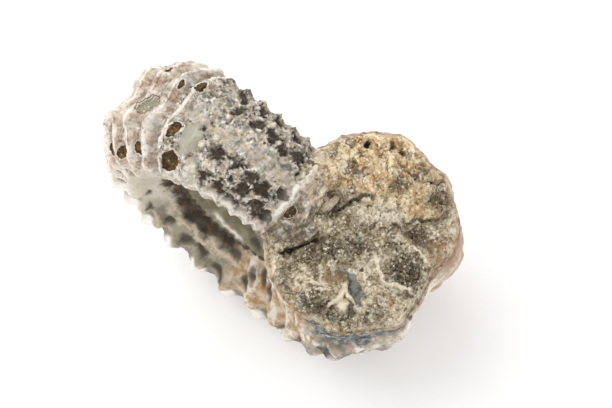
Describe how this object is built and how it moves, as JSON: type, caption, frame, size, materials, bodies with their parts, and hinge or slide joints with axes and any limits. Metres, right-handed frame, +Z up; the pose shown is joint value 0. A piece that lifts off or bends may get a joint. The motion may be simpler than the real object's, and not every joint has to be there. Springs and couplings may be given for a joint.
{
  "type": "ammonite fossil",
  "caption": "Stout ribbed ammonite fossil with knobs along its ribs, a grooved rim, open coils at the sides and its last shell part broken off.",
  "frame": {"origin": "middle of the footprint, on the surface that the fossil rests on", "axes": "+Z up, the coil's axis along Y, the broken end towards +X and facing up"},
  "size_m": [0.0468, 0.0254, 0.0404],
  "materials": {
    "fossil_stone": "matt, rough"
  },
  "bodies": {
    "root": {"ammonite": "fossil_stone"}
  },
  "joints": []
}
